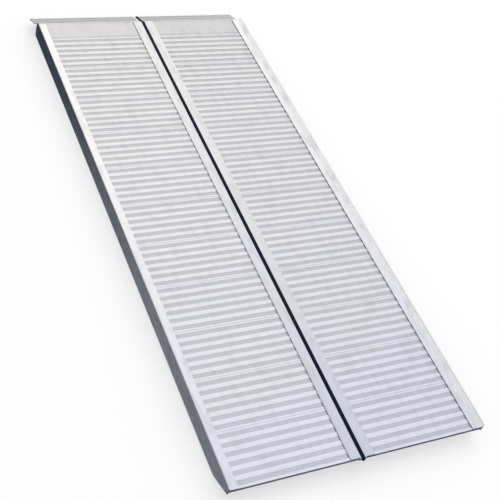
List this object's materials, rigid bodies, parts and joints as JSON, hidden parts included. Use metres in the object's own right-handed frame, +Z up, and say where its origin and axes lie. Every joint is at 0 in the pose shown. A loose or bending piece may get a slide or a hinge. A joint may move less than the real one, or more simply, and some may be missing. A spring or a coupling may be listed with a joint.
{
  "type": "portable wheelchair ramp",
  "caption": "Folding aluminium wheelchair ramp: two ribbed half decks in side rails, joined by a lengthwise hinge, with tilting transition lips at the upper end.",
  "frame": {"origin": "on the fold line between the two half decks, level with the rails' bottom faces, halfway along the overall length", "axes": "+X to the right across the ramp, seen from its lower end; +Y up the ramp, from the bevelled lower end towards the lips; +Z up"},
  "size_m": [0.7855, 1.8625, 0.0656],
  "materials": {
    "rail_aluminium": "mill-finish extrusion, fine streaks along its length",
    "plank_aluminium": "mill-finish extrusion, bright rib tops and duller grooves",
    "lip_aluminium": "mill-finish extrusion, ribbed",
    "hinge_steel": "zinc plated",
    "rivet_aluminium": "satin",
    "seal_rubber": "satin black extrusion",
    "pad_rubber": "matt black",
    "handle_steel": "zinc plated",
    "grip_plastic": "moulded, fine texture"
  },
  "bodies": {
    "left_panel": {"left_outer_rail": "rail_aluminium", "left_inner_rail": "rail_aluminium", "left_plank_01": "plank_aluminium", "left_plank_02": "plank_aluminium", "left_plank_03": "plank_aluminium", "left_plank_04": "plank_aluminium", "left_plank_05": "plank_aluminium", "left_plank_06": "plank_aluminium", "left_plank_07": "plank_aluminium", "left_plank_08": "plank_aluminium", "left_plank_09": "plank_aluminium", "left_plank_10": "plank_aluminium", "left_plank_11": "plank_aluminium", "left_top_plank": "plank_aluminium", "left_lip_stops": "hinge_steel", "hinge_leaf_left": "hinge_steel", "hinge_pin": "hinge_steel", "leaf_rivets_left": "rivet_aluminium", "plank_rivets_left": "rivet_aluminium"},
    "right_panel": {"right_inner_rail": "rail_aluminium", "right_outer_rail": "rail_aluminium", "right_plank_01": "plank_aluminium", "right_plank_02": "plank_aluminium", "right_plank_03": "plank_aluminium", "right_plank_04": "plank_aluminium", "right_plank_05": "plank_aluminium", "right_plank_06": "plank_aluminium", "right_plank_07": "plank_aluminium", "right_plank_08": "plank_aluminium", "right_plank_09": "plank_aluminium", "right_plank_10": "plank_aluminium", "right_plank_11": "plank_aluminium", "right_top_plank": "plank_aluminium", "right_lip_stops": "hinge_steel", "hinge_leaf_right": "hinge_steel", "leaf_rivets_right": "rivet_aluminium", "plank_rivets_right": "rivet_aluminium", "gap_seal": "seal_rubber", "handle_bracket_front": "handle_steel", "handle_bracket_rear": "handle_steel", "handle_pins": "handle_steel", "handle_rivets": "rivet_aluminium"},
    "left_transition": {"left_lip": "lip_aluminium", "left_lip_pad": "pad_rubber"},
    "right_transition": {"right_lip": "lip_aluminium", "right_lip_pad": "pad_rubber", "lip_seal": "seal_rubber"},
    "carry_handle": {"handle_bail": "handle_steel", "handle_grip": "grip_plastic"}
  },
  "joints": [
    {"name": "fold", "type": "hinge", "parent": "left_panel", "child": "right_panel", "pos_m": [0, 0, -0.002], "axis": [0, 1, 0], "range_deg": [0, 180]},
    {"name": "left_lip_tilt", "type": "hinge", "parent": "left_panel", "child": "left_transition", "pos_m": [-0.2, 0.87138, 0.0374], "axis": [-1, 0, 0], "range_deg": [-20, 15]},
    {"name": "right_lip_tilt", "type": "hinge", "parent": "right_panel", "child": "right_transition", "pos_m": [0.2, 0.87138, 0.0374], "axis": [-1, 0, 0], "range_deg": [-20, 15]},
    {"name": "handle_swing", "type": "hinge", "parent": "right_panel", "child": "carry_handle", "pos_m": [0.388, -0.06697, 0.042], "axis": [0, -1, 0], "range_deg": [0, 90]}
  ]
}
